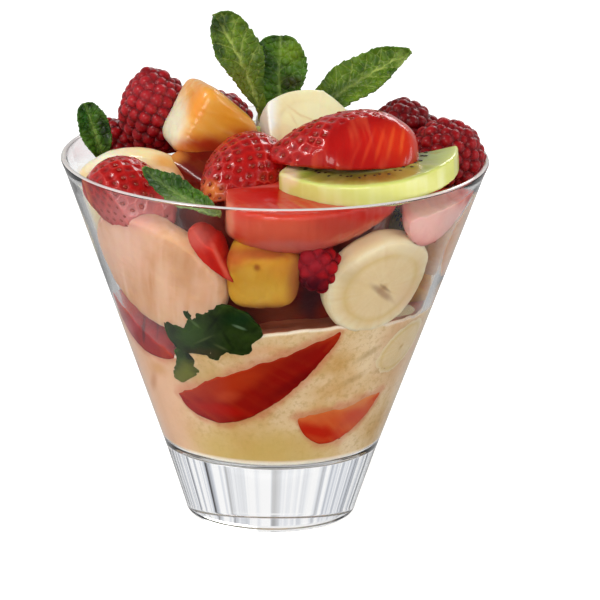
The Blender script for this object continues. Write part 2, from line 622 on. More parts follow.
class Look(Nodes):
    """One node material."""

    def __init__(self, name):
        self.material = bpy.data.materials.new(name)
        self.material.use_nodes = True
        super().__init__(self.material.node_tree)
        self.shader = self.tree.nodes["Principled BSDF"]

    def attribute(self, name, output="Fac"):
        return self.node("ShaderNodeAttribute", attribute_name=name).outputs[output]

    def painted(self, colour):
        """The colour with what was brushed on the mesh over it."""
        return self.mix(self.attribute("painted"), colour, self.attribute("paint", "Color"))

    def patches(self, size_mm, *stops):
        """A ramp over noise with lumps of a size in millimetres."""
        return self.ramp(self.noise(size_mm), stops)

    def noise(self, size_mm, detail=3.0, roughness=0.55):
        """Noise from 0 to 1 with lumps of a size in millimetres, over the mesh's own place."""
        made = self.node("ShaderNodeTexNoise")
        self.put(made.inputs["Vector"], self.node("ShaderNodeTexCoord").outputs["Object"])
        values = {"Scale": 1 / (size_mm * METRES_PER_MM), "Detail": detail, "Roughness": roughness}
        for key, value in values.items():
            made.inputs[key].default_value = value
        return made.outputs["Fac"]

    def over(self, colour, name, share, above):
        """The colour with another above it where the mesh's attribute says, at most by a share."""
        return self.mix(self.maths("MULTIPLY", self.attribute(name), share), colour, above)

    def rays(self, *stops):
        """A ramp over the fibres, which run from -1 to 1."""
        return self.ramp(self.maths("MULTIPLY_ADD", self.attribute("fibre"), 0.5), stops)

    def bump(self, height, depth_mm, strength):
        made = self.node("ShaderNodeBump")
        made.inputs["Distance"].default_value = depth_mm * METRES_PER_MM
        made.inputs["Strength"].default_value = strength
        self.put(made.inputs["Height"], height)
        self.put(self.shader.inputs["Normal"], made.outputs[0])

    def finish(self, **values):
        """Sets the shader's inputs, named with underscores for spaces, and returns the material."""
        for key, value in values.items():
            self.put(self.shader.inputs[key.replace("_", " ")], value)
        return self.material


def flesh_light(look, weight, radius_mm, tone=(1.0, 0.35, 0.15)):
    """Light that sinks into the fruit and comes out again close by."""
    look.shader.subsurface_method = "RANDOM_WALK"
    look.finish(Subsurface_Weight=weight, Subsurface_Radius=tone, Subsurface_Scale=radius_mm * METRES_PER_MM)


def strawberry_look(name, core, middle, edge, skin, wet):
    look = Look(name)
    on_skin = look.attribute("skin")
    flesh = look.ramp(look.attribute("rim"), [(0.0, core), (0.35, middle), (0.8, middle), (0.97, edge)])
    flesh = look.mix(look.rays((0.45, 0.0), (0.85, 0.55)), flesh, core)
    flesh = look.mix(look.patches(5.0, (0.35, 0.0), (0.7, 0.35)), flesh, edge)
    outer = look.patches(3.0, (0.3, skin), (0.75, tint(196, 16, 10)))
    outer = look.over(outer, "pit", 0.55, tint(112, 0, 6))
    outer = look.over(outer, "net", 0.4, tint(232, 84, 72))
    outer = look.mix(look.attribute("pale"), outer, tint(226, 120, 62))
    outer = look.mix(look.attribute("seed"), outer, tint(150, 44, 20))
    rough = look.maths("MULTIPLY_ADD", on_skin, 0.7, 0.3)
    look.bump(look.maths("MULTIPLY", look.noise(1.2, detail=5.0), rough), 0.34, 0.6)
    flesh_light(look, 0.35, 2.2, (1.0, 0.22, 0.1))
    return look.finish(
        Base_Color=look.painted(look.mix(on_skin, flesh, outer)), Roughness=0.3, Specular_IOR_Level=0.25,
        Coat_Weight=wet, Coat_Roughness=0.07, Coat_IOR=1.4
    )


def raspberry_look():
    look = Look("raspberry_flesh")
    tones = [(0.0, tint(84, 0, 8)), (0.3, tint(150, 6, 14)), (1.0, tint(186, 22, 30))]
    colour = look.ramp(look.attribute("bead"), tones)
    colour = look.mix(look.patches(6.0, (0.35, 0.0), (0.7, 0.5)), colour, tint(122, 2, 12))
    bloom = look.ramp(look.noise(0.8, detail=4.0), [(0.5, 0.0), (0.8, 0.3)])
    colour = look.mix(bloom, colour, tint(206, 78, 88))
    look.bump(look.noise(0.5, detail=4.0), 0.08, 0.45)
    flesh_light(look, 0.4, 2.4, (1.0, 0.12, 0.12))
    return look.finish(
        Base_Color=look.painted(colour), Roughness=0.38, Coat_Weight=0.15, Coat_Roughness=0.12,
        Specular_IOR_Level=0.2
    )


def banana_look(name, face, side, wet):
    look = Look(name)
    heart, ring, pale = tint(196, 160, 106), tint(224, 200, 146), tint(250, 242, 212)
    tones = [(0.0, heart), (0.12, face), (0.55, face), (0.66, ring), (0.74, face), (0.95, pale)]
    middle = look.ramp(look.attribute("rim"), tones)
    middle = look.mix(look.rays((0.3, 0.0), (0.75, 0.32)), middle, tint(222, 192, 134))
    marks = look.ramp(look.attribute("spot"), [(0.35, 0.0), (0.75, 0.85)])
    middle = look.mix(marks, middle, tint(138, 98, 62))
    colour = look.mix(look.attribute("side"), middle, side)
    colour = look.mix(look.patches(4.0, (0.4, 0.0), (0.8, 0.25)), colour, tint(214, 180, 120))
    colour = look.mix(look.attribute("stain"), colour, tint(226, 128, 82))
    look.bump(look.noise(0.8, detail=4.0), 0.10, 0.5)
    flesh_light(look, 0.45, 3.0, (1.0, 0.7, 0.4))
    return look.finish(Base_Color=look.painted(colour), Roughness=0.42, Coat_Weight=wet, Coat_Roughness=0.15)


def kiwi_look():
    look = Look("kiwi_flesh")
    tones = [
        (0.0, tint(232, 232, 176)), (0.22, tint(226, 228, 160)), (0.30, tint(112, 132, 36)),
        (0.52, tint(136, 158, 46)), (0.85, tint(178, 194, 78)), (0.98, tint(214, 220, 118)),
    ]
    rays = look.rays((0.40, 0.0), (0.75, 0.6))
    face = look.mix(rays, look.ramp(look.attribute("rim"), tones), tint(206, 214, 122))
    outside = look.patches(9.0, (0.35, tint(230, 230, 148)), (0.7, tint(212, 212, 98)))
    outside = look.mix(rays, outside, tint(240, 240, 186))
    colour = look.mix(look.attribute("side"), face, outside)
    colour = look.mix(look.attribute("spot"), colour, tint(34, 22, 12))
    look.bump(look.noise(0.6, detail=4.0), 0.08, 0.4)
    flesh_light(look, 0.5, 2.8, (0.8, 0.9, 0.25))
    return look.finish(Base_Color=look.painted(colour), Roughness=0.28, Coat_Weight=0.6, Coat_Roughness=0.1)


def chunk_look(name, base, deep, pale, stain, wet):
    """Mango and peach: flesh with pale fibres, stained by juice in places."""
    look = Look(name)
    colour = look.mix(look.patches(5.5, (0.35, 0.0), (0.72, 0.8)), base, deep)
    colour = look.mix(look.rays((0.35, 0.0), (0.8, 0.5)), colour, pale)
    colour = look.mix(look.attribute("stain"), colour, stain)
    look.bump(look.noise(1.4, detail=5.0), 0.16, 0.5)
    flesh_light(look, 0.45, 2.8, (1.0, 0.5, 0.15))
    return look.finish(Base_Color=look.painted(colour), Roughness=0.33, Coat_Weight=wet, Coat_Roughness=0.1)


def mint_look(name, deep, middle, vein):
    look = Look(name)
    colour = look.patches(4.5, (0.35, deep), (0.7, middle))
    colour = look.mix(look.patches(1.1, (0.45, 0.0), (0.8, 0.5)), colour, deep)
    colour = look.over(colour, "vein", 0.8, vein)
    colour = look.mix(look.attribute("base"), colour, tint(96, 88, 22))
    look.bump(look.noise(0.45, detail=4.0), 0.09, 0.6)
    flesh_light(look, 0.35, 1.2, (0.6, 1.0, 0.15))
    return look.finish(
        Base_Color=look.painted(colour), Roughness=0.42, Specular_IOR_Level=0.3, Coat_Weight=0.1,
        Coat_Roughness=0.25
    )


def cream_look():
    look = Look("cream_custard")
    tones = [
        (0.34, tint(212, 172, 112)), (0.46, tint(225, 194, 144)), (0.58, tint(233, 208, 166)),
        (0.7, tint(239, 218, 182)),
    ]
    colour = look.ramp(look.noise(11.0, detail=4.0), tones)
    crumbs = look.ramp(look.noise(1.3, detail=5.0, roughness=0.65), [(0.36, 0.42), (0.5, 0.0)])
    colour = look.mix(crumbs, colour, tint(186, 150, 84))
    for name, tone in (
        ("olive", (214, 184, 106)), ("pink", (236, 190, 158)), ("stain", (206, 104, 76)),
        ("pale", (252, 240, 222)),
    ):
        colour = look.mix(look.attribute(name), colour, tint(*tone))
    look.bump(look.noise(1.6, detail=5.0), 0.25, 0.5)
    flesh_light(look, 0.4, 2.5, (1.0, 0.75, 0.5))
    return look.finish(Base_Color=look.painted(colour), Roughness=0.45, Coat_Weight=0.2, Coat_Roughness=0.2)


def core_look():
    look = Look("core_juice")
    colour = look.patches(6.0, (0.35, tint(92, 8, 8)), (0.55, tint(142, 22, 14)), (0.74, tint(176, 62, 34)))
    look.bump(look.noise(1.5), 0.4, 0.6)
    flesh_light(look, 0.3, 2.0)
    return look.finish(Base_Color=look.painted(colour), Roughness=0.3, Coat_Weight=0.5, Coat_Roughness=0.08)


def glass_look():
    """Clear glass. Lamps shine straight through it, so that what it holds is lit."""
    look = Look("clear_glass")
    wear = look.ramp(look.noise(14.0, detail=2.0), [(0.4, 0.0), (0.8, 0.02)])
    look.finish(Base_Color=(1, 1, 1, 1), Roughness=wear, IOR=1.5, Transmission_Weight=1.0)
    lamp = look.node("ShaderNodeLightPath").outputs["Is Shadow Ray"]
    clear = look.node("ShaderNodeBsdfTransparent")
    clear.inputs["Color"].default_value = (0.94, 0.95, 0.95, 1.0)
    either = look.node("ShaderNodeMixShader")
    look.put(either.inputs[0], lamp)
    look.put(either.inputs[1], look.shader.outputs[0])
    look.put(either.inputs[2], clear.outputs[0])
    look.put(look.tree.nodes["Material Output"].inputs["Surface"], either.outputs[0])
    return look.material


def rim_look():
    """The polished rim: clear glass with a pale bloom."""
    look = Look("glass_rim")
    bloom = look.ramp(look.noise(5.0, detail=2.0), [(0.3, tint(250, 240, 240)), (0.7, tint(255, 252, 250))])
    return look.finish(
        Base_Color=bloom, Roughness=0.16, IOR=1.5, Transmission_Weight=0.3, Coat_Weight=1.0,
        Coat_Roughness=0.03
    )


# Colours of the looks, from 0 to 255 as on screen, in the order that the functions above take them, and how
# wet each is. The material's name comes first.
STRAWBERRY_LOOKS = {
    "strawberry": ("strawberry_fresh", (226, 92, 56), (205, 26, 10), (168, 6, 4), (168, 6, 8), 0.7),
    "strawberry_deep": ("strawberry_deep", (196, 70, 26), (160, 16, 6), (132, 4, 6), (140, 4, 8), 0.2),
    "strawberry_light": ("strawberry_light", (226, 150, 84), (212, 84, 36), (184, 22, 8), (170, 10, 8), 0.2),
    "strawberry_coral": ("strawberry_coral", (236, 120, 96), (214, 50, 26), (196, 12, 6), (206, 58, 40), 0.7),
}
BANANA_LOOKS = {
    "banana": ("banana_fresh", (250, 228, 172), (252, 250, 226), 0.2),
    "banana_wet": ("banana_wet", (234, 214, 174), (232, 214, 172), 0.1),
}
CHUNK_LOOKS = {
    "mango": ("mango_flesh", (240, 172, 66), (232, 136, 34), (250, 232, 178), (204, 60, 12), 0.3),
    "mango_wet": ("mango_wet", (196, 146, 46), (190, 108, 34), (206, 158, 66), (150, 62, 30), 0.15),
    "peach": ("peach_flesh", (248, 222, 168), (242, 190, 120), (252, 238, 204), (196, 70, 24), 0.3),
    "peach_wet": ("peach_wet", (224, 178, 142), (206, 150, 104), (236, 204, 178), (206, 122, 108), 0.15),
}
MINT_LOOKS = {
    "mint": ("mint_leaf", (50, 80, 12), (112, 142, 26), (184, 198, 104)),
    "mint_dark": ("mint_leaf_dark", (30, 66, 12), (84, 126, 28), (140, 168, 84)),
    "mint_bright": ("mint_leaf_bright", (54, 88, 10), (118, 150, 30), (186, 202, 104)),
    "mint_sunk": ("mint_leaf_sunk", (16, 30, 8), (60, 84, 28), (62, 80, 40)),
}
LOOKS = {
    "raspberry": raspberry_look(), "kiwi": kiwi_look(), "cream": cream_look(), "fruit_core": core_look(),
    "glass": glass_look(),
}
for maker, table in (
    (strawberry_look, STRAWBERRY_LOOKS), (banana_look, BANANA_LOOKS), (chunk_look, CHUNK_LOOKS),
    (mint_look, MINT_LOOKS),
):
    for key, (title, *values) in table.items():
        LOOKS[key] = maker(title, *[tint(*value) if isinstance(value, tuple) else value for value in values])

# Pieces whose look isn't the plain one of their kind, by look.
SPECIAL_LOOKS = {
    "strawberry_deep": ["strawberry_in_cream_front", "strawberry_on_cream_left", "strawberry_slice_left"],
    "strawberry_light": [
        "strawberry_in_cream_right", "strawberry_in_cream_back", "strawberry_in_cream_side",
        "strawberry_in_cream_left",
    ],
    "strawberry_coral": ["strawberry_half_front"],
    "banana_wet": ["banana_slice_right", "banana_slice_in_cream", "banana_side_left", "banana_slice_back"],
    "mango_wet": ["mango_in_glass", "mango_side_right", "mango_side_left", "mango_back"],
    "peach_wet": ["peach_wedge_left", "peach_side_right", "peach_wedge_back"],
    "mint_dark": ["mint_leaf_middle", "mint_leaf_far_left", "mint_leaf_rim_left"],
    "mint_bright": ["mint_leaf_right"],
    "mint_sunk": ["mint_in_cream", "mint_in_cream_small", "mint_in_cream_back"],
}
PIECE_LOOKS = {piece: look for look, pieces in SPECIAL_LOOKS.items() for piece in pieces}

# How what lies against the glass differs: its shine is the glass's.
PRESSED = {"Coat Weight": 0.0, "Specular IOR Level": 0.04, "Roughness": 0.5}

BRUSH_CORE, BRUSH_EDGE = 0.25, 1.40  # shares of a stroke's reach where it begins and ends to fade
BRUSH_UNEVEN = 0.22

# Colours brushed on the side that the photograph shows: place in it (pixels from the left and the top), how
# far the brush reaches across and up, its turn in degrees, the colour as it looks on screen, and strength.
BRUSHES = {
    "fruit_core": [
        (275, 312, 44, 12, 0, (158, 84, 58), 0.8), (310, 298, 14, 24, 0, (74, 46, 58), 0.85),
        (192, 218, 34, 26, 0, (176, 92, 84), 0.8), (400, 218, 26, 20, 0, (176, 72, 60), 0.8),
    ],
    "peach_wedge_left": [
        (122, 245, 30, 40, 0, (236, 198, 178), 0.7), (186, 262, 14, 36, 0, (206, 156, 114), 0.7),
        (165, 290, 9, 40, 0, (232, 196, 166), 0.6), (146, 300, 14, 26, 0, (208, 158, 120), 0.55),
        (200, 300, 16, 18, 0, (222, 174, 140), 0.6), (128, 216, 46, 12, 10, (206, 138, 130), 0.75),
        (135, 320, 26, 8, 20, (226, 176, 160), 0.6),
    ],
    "mango_in_glass": [
        (262, 284, 34, 26, 0, (206, 158, 56), 0.6), (232, 258, 16, 13, 0, (176, 84, 36), 0.85),
        (236, 292, 16, 10, 20, (196, 144, 40), 0.6), (297, 282, 11, 34, 0, (158, 84, 48), 0.85),
        (257, 266, 4, 4, 0, (140, 62, 26), 0.85), (262, 309, 50, 8, 0, (138, 74, 44), 0.9),
        (266, 252, 40, 7, 0, (160, 72, 38), 0.85), (258, 292, 26, 12, 0, (222, 178, 78), 0.6),
        (248, 272, 12, 8, 30, (216, 170, 74), 0.5),
    ],
    "banana_slice_right": [
        (400, 246, 22, 10, 20, (238, 224, 186), 0.7), (345, 268, 14, 16, 0, (206, 186, 148), 0.5),
        (380, 291, 13, 4, 38, (168, 132, 104), 0.75), (384, 287, 6, 1.6, 38, (128, 96, 74), 0.6),
        (408, 300, 14, 22, 0, (228, 194, 160), 0.5),
    ],
    "cream": [
        (165, 405, 22, 60, -20, (238, 198, 166), 0.6), (258, 436, 60, 16, 0, (212, 184, 110), 0.4),
        (395, 345, 20, 44, 20, (226, 186, 156), 0.6), (366, 352, 16, 3, -35, (176, 144, 92), 0.55),
        (380, 366, 10, 2.5, -30, (170, 138, 88), 0.5), (350, 378, 14, 3, -30, (184, 148, 96), 0.5),
        (162, 366, 10, 6, 40, (212, 154, 88), 0.6), (158, 378, 3, 10, 0, (196, 128, 84), 0.5),
        (330, 388, 22, 8, -10, (206, 158, 88), 0.4), (220, 418, 4, 4, 0, (176, 130, 84), 0.5),
        (258, 350, 26, 6, -8, (226, 170, 124), 0.6), (205, 372, 20, 10, 0, (206, 176, 116), 0.6),
    ],
    "strawberry_in_cream_front": [
        (270, 385, 90, 40, -20, (146, 18, 8), 0.75), (238, 381, 34, 11, -22, (190, 62, 22), 0.65),
        (228, 395, 14, 7, 0, (204, 82, 44), 0.5), (306, 352, 24, 10, -25, (138, 20, 12), 0.6),
        (222, 408, 30, 6, 10, (182, 20, 6), 0.7), (300, 378, 50, 7, -32, (118, 4, 8), 0.7),
    ],
    "strawberry_in_cream_right": [
        (330, 418, 50, 22, 0, (212, 96, 48), 0.75), (308, 405, 22, 9, 0, (208, 102, 46), 0.85),
        (340, 402, 26, 7, 0, (208, 132, 76), 0.75), (316, 430, 26, 8, 10, (190, 26, 10), 0.9),
        (356, 413, 20, 8, -25, (196, 70, 50), 0.6),
    ],
    "strawberry_half_front": [
        (300, 225, 90, 34, 0, (206, 86, 60), 0.9), (290, 214, 80, 7, 0, (214, 54, 34), 0.8),
        (276, 226, 44, 10, 0, (214, 92, 64), 0.5), (229, 226, 6, 36, 0, (232, 150, 118), 0.8),
        (290, 246, 70, 7, 0, (196, 100, 90), 0.8),
        (340, 224, 34, 14, 0, (184, 56, 44), 0.7), (358, 214, 34, 7, 8, (198, 34, 20), 0.9),
        (285, 196, 76, 13, 3, (200, 10, 5), 0.95), (262, 186, 34, 2, 0, (238, 120, 112), 0.6),
    ],
    "strawberry_slice_left": [
        (208, 258, 26, 40, 0, (206, 40, 26), 0.9), (222, 262, 3, 30, -25, (222, 108, 88), 0.6),
        (198, 236, 16, 14, 0, (216, 104, 92), 0.75), (216, 268, 4, 22, -25, (180, 16, 12), 0.6),
    ],
    "strawberry_on_cream_left": [
        (152, 328, 34, 22, 0, (150, 24, 34), 0.85), (147, 328, 1.6, 14, 0, (74, 14, 26), 0.8),
        (160, 326, 1.4, 12, 0, (96, 16, 28), 0.6), (136, 322, 6, 10, 0, (196, 84, 92), 0.5),
    ],
    "strawberry_under_kiwi": [
        (425, 222, 46, 26, 0, (255, 208, 198), 0.9), (395, 212, 16, 12, 0, (214, 96, 88), 0.6),
        (452, 214, 14, 18, 0, (248, 214, 206), 0.7),
    ],
    "strawberry_rim_left": [(150, 216, 56, 20, 8, (204, 122, 118), 0.8)],
    "strawberry_piece_centre": [
        (212, 190, 12, 10, 0, (226, 132, 56), 0.8), (240, 172, 24, 14, 0, (178, 12, 10), 0.4),
    ],
    "strawberry_half_top": [
        (360, 152, 50, 16, 0, (190, 10, 6), 0.7), (400, 142, 24, 24, 0, (214, 44, 8), 0.8),
        (345, 158, 30, 10, 0, (176, 8, 6), 0.6), (368, 148, 2.2, 18, 20, (224, 70, 34), 0.55),
        (380, 144, 2.2, 18, 16, (232, 84, 34), 0.55), (391, 142, 2.2, 18, 12, (238, 104, 40), 0.5),
        (402, 142, 2.0, 16, 8, (240, 112, 44), 0.45), (356, 152, 2.0, 14, 24, (214, 54, 30), 0.45),
    ],
    "mango_chunk_top": [
        (222, 116, 50, 38, 0, (234, 170, 62), 0.85), (172, 120, 15, 44, 6, (250, 244, 214), 0.95),
        (198, 102, 9, 22, 6, (236, 142, 24), 0.8), (216, 147, 42, 12, 3, (178, 36, 8), 0.95),
        (246, 136, 20, 10, 20, (198, 56, 12), 0.8), (180, 152, 20, 8, 0, (220, 122, 30), 0.8),
        (234, 114, 26, 15, 20, (232, 158, 38), 0.8),
    ],
    "mango_chunk_centre": [
        (192, 166, 50, 40, 0, (134, 24, 6), 0.95), (212, 170, 40, 36, 0, (108, 4, 2), 0.95),
        (172, 156, 14, 8, 0, (232, 152, 62), 0.8),
    ],
    "peach_slice_left": [
        (108, 160, 34, 14, 0, (252, 246, 222), 0.9), (142, 155, 24, 8, 0, (252, 232, 176), 0.8),
        (166, 162, 14, 8, 10, (236, 168, 74), 0.85), (188, 174, 16, 14, 10, (196, 78, 18), 0.85),
    ],
    "banana_wedge_top": [
        (318, 112, 46, 30, 0, (255, 247, 198), 0.9), (268, 112, 11, 40, 0, (255, 254, 244), 0.97),
        (282, 134, 14, 8, 0, (248, 226, 178), 0.6), (330, 124, 18, 5, -20, (236, 190, 96), 0.6),
        (296, 112, 12, 1.2, 38, (226, 190, 122), 0.5), (308, 118, 12, 1.2, 24, (226, 186, 118), 0.5),
        (294, 120, 8, 1.2, 62, (230, 196, 130), 0.45),
    ],
    "kiwi_slice": [
        (380, 196, 110, 12, 0, (222, 222, 126), 0.6), (290, 172, 10, 16, 0, (250, 224, 190), 0.8),
        (455, 168, 16, 16, 0, (208, 212, 92), 0.6), (365, 176, 52, 7, -2, (118, 100, 36), 0.85),
        (322, 174, 18, 7, 14, (150, 136, 62), 0.7), (424, 166, 20, 7, -16, (158, 156, 62), 0.7),
        (394, 221, 18, 10, 0, (186, 70, 58), 0.95),
    ],
    "raspberry_in_glass": [
        (310, 262, 22, 20, 0, (150, 34, 46), 0.8), (308, 284, 20, 10, 0, (62, 16, 28), 0.85),
    ],
    "raspberry_right_front": [(455, 160, 60, 50, 0, (128, 4, 14), 0.5)],
    "raspberry_right_back": [(412, 125, 50, 40, 0, (98, 0, 8), 0.7)],
    "raspberry_top_left": [
        (150, 90, 34, 26, 0, (178, 44, 54), 0.4), (158, 135, 40, 18, 0, (112, 0, 14), 0.5),
    ],
    "mint_leaf_tall": [
        (238, 88, 20, 26, 0, (112, 112, 26), 0.6), (218, 26, 12, 10, 0, (38, 62, 12), 0.6),
    ],
    "mint_leaf_middle": [
        (290, 52, 16, 14, 0, (124, 152, 34), 0.6), (268, 64, 12, 18, 0, (26, 58, 10), 0.6),
        (292, 82, 14, 8, 0, (44, 34, 12), 0.7),
    ],
    "mint_leaf_right": [
        (334, 98, 16, 14, 0, (34, 62, 8), 0.7), (356, 84, 20, 10, -30, (70, 98, 16), 0.6),
        (402, 60, 8, 10, 0, (156, 172, 92), 0.6),
    ],
    "mint_leaf_rim_left": [
        (190, 210, 34, 10, 20, (150, 170, 110), 0.7), (160, 184, 16, 8, 30, (70, 96, 50), 0.5),
    ],
    "mint_leaf_far_left": [
        (104, 130, 5, 24, -12, (18, 20, 12), 0.6), (84, 118, 5, 14, 0, (38, 96, 24), 0.5),
    ],
    "mint_in_cream": [
        (215, 335, 60, 40, 0, (30, 46, 12), 0.6), (192, 330, 14, 16, 0, (58, 90, 24), 0.5),
        (238, 318, 16, 8, 0, (20, 52, 24), 0.6), (240, 326, 7, 1.4, 20, (120, 146, 112), 0.6),
        (205, 352, 22, 6, 0, (60, 44, 16), 0.6), (205, 338, 10, 1.2, -24, (98, 112, 62), 0.4),
        (222, 346, 8, 1.4, 24, (96, 104, 62), 0.45), (196, 322, 7, 1.4, 40, (98, 128, 72), 0.5),
        (214, 322, 12, 2.0, -50, (14, 24, 8), 0.6), (228, 338, 10, 2.0, 60, (14, 22, 8), 0.55),
    ],
    "mint_in_cream_small": [(188, 374, 16, 14, 0, (118, 122, 44), 0.8)],
}


def brushed(name, points):
    """The colour painted at each point, and how much it covers what is below."""
    colour, cover = np.zeros((len(points), 3)), np.zeros(len(points))
    across, down = seen_at(points)
    uneven = BRUSH_UNEVEN * layered_noise(points, 2.6, 71)
    for x, y, reach_x, reach_y, turn, shade, strength in BRUSHES.get(name, []):
        turn = math.radians(turn)
        along = (across - x) * math.cos(turn) + (down - y) * math.sin(turn)
        beside = (down - y) * math.cos(turn) - (across - x) * math.sin(turn)
        off = np.hypot(along / reach_x, beside / reach_y) + uneven
        share = strength * (1 - smoothstep(BRUSH_CORE, BRUSH_EDGE, off))
        total = share + cover * (1 - share)
        kept = (cover * (1 - share) / np.maximum(total, 1e-6))[:, None]
        colour = colour * kept + np.array(tint(*shade)[:3]) * (1 - kept)
        cover = total
    return colour, cover


def look_of(name):
    kind = name if name in LOOKS else name.split("_")[0]
    return LOOKS[PIECE_LOOKS.get(name, kind)]


def press_looks():
    """Makes the looks of what lies against the glass dull, and gives them to all such pieces."""
    names = [row[0] for row in WALL_PIECES + SUNK_LEAVES] + ["cream", "raspberry_in_glass"]
    for name in names:
        kept = look_of(name)
        dull = kept.name + "_pressed"
        if dull not in LOOKS:
            LOOKS[dull] = kept.copy()
            LOOKS[dull].name = dull
            for key, value in PRESSED.items():
                LOOKS[dull].node_tree.nodes["Principled BSDF"].inputs[key].default_value = value
        PIECE_LOOKS[name] = dull


# Detail: steps along a sixth of a ball, for pieces that the front view shows and for the others.
FRONT_STEPS = {"strawberry": 68, "raspberry": 60, "disc": 64, "chunk": 44, "crescent": 44}
BACK_STEPS = {"strawberry": 40, "raspberry": 36, "disc": 40, "chunk": 28, "crescent": 28}
WALL_STEPS = {
    "wall_strawberry": (56, 30), "wall_disc": (56, 30), "wall_pad": (50, 26), "wall_chunk": (44, 26),
}
KIWI_SEEDS = 54  # on each face
KIWI_HEART = 0.38  # share of the front slice's half width that its white heart takes beyond the usual
KIWI_BEND, KIWI_SINK = 2.0, 0.3  # how far the front slice's ends bend up, and its middle down
TOP_CHUNK_GROWTH = 1.07  # how much larger the top mango chunk is than its solid


def with_kiwi_seeds(made, size, seed, heart, cut_by):
    """A kiwi slice with seeds in two uneven rings on both faces, further out the wider its heart, and none
    where it is cut."""
    length, width, depth = size
    random = np.random.default_rng(seed)
    order = np.arange(KIWI_SEEDS)
    angle = order * math.tau / KIWI_SEEDS + random.uniform(-0.05, 0.05, KIWI_SEEDS)
    share = np.where(order % 2, 0.36, 0.46) + random.uniform(-0.035, 0.035, KIWI_SEEDS)
    share = heart + (1 - heart) * share
    x, y = share * length / 2 * np.cos(angle), share * width / 2 * np.sin(angle)
    sides = np.repeat([-1.0, 1.0], KIWI_SEEDS)
    places = columns(np.tile(x, 2), np.tile(y, 2), sides * (depth / 2 - 0.05))
    along = columns(np.tile(np.cos(angle), 2), np.tile(np.sin(angle), 2), 0.0)
    kept = cut_by(places, np.full(len(places), -9.0)) < -0.4
    seed_points, seed_quads = achenes(places[kept], columns(0.0, 0.0, sides)[kept], along[kept])
    seeds = {key: np.ones(len(seed_points)) for key in ("spot", "seed")}
    return joined(made, (seed_points, seed_quads, seeds))


def slice_piece(points, quads, kind, size, seed):
    """Gives a slice its rays and marks, and tells its faces from its side."""
    length, width, depth = size
    rim, rays = slice_pattern(points, length, width, seed)
    on_face = smoothstep(depth / 2 - 0.9, depth / 2 - 0.25, np.abs(points[:, 2]))
    side = 1 - on_face
    normals = normals_of(points, quads)
    body = {"side": side, "rim": rim, "fibre": rays}
    if kind == "kiwi":
        on_flesh, on_heart = smoothstep(0.25, 0.5, rim), 1 - smoothstep(0.1, 0.28, rim)
        lift = 0.10 * rays * side + on_face * (0.14 * rays * on_flesh + 0.3 * on_heart)
    else:
        angle = np.arctan2(points[:, 1], points[:, 0])
        lobes = 0.5 + 0.5 * np.cos(3 * angle + seed)
        near_middle = 1 - smoothstep(0.10, 0.42, rim + 0.10 * (1 - lobes))
        flecks = smoothstep(0.15, 0.5, noise(points * [1, 1, 0.2], 0.75, seed)) * near_middle
        spot = 0.45 * flecks * (0.4 + 0.6 * lobes) * on_face
        groove = np.exp(-(((rim - 0.66) / 0.04) ** 2))
        lift = on_face * (0.10 * rays * smoothstep(0.2, 0.5, rim) - 0.25 * spot - 0.12 * groove)
        lift += 0.10 * layered_noise(points, 3.0, seed) * side
        body["spot"] = spot
    lift += 0.12 * layered_noise(points, 6.0, seed + 2)
    return points + normals * lift[:, None], quads, body


def chunk_piece(points, quads, seed, grain):
    """Gives mango or peach its fibres, which run along the grain."""
    fibre = 0.6 * noise(points, grain, seed) + 0.4 * noise(points, np.asarray(grain) * 0.5, seed + 1)
    normals = normals_of(points, quads)
    lift = 0.10 * fibre + 0.22 * layered_noise(points, 5.0, seed + 2)
    return points + normals * lift[:, None], quads, {"fibre": fibre}


def frame_of(axis, face):
    """Rows of a piece's own axes: X along the axis, Z looking the way of the face."""
    along = unit(axis)
    across = unit(np.cross(face, along))
    return np.array([along, across, np.cross(along, across)])


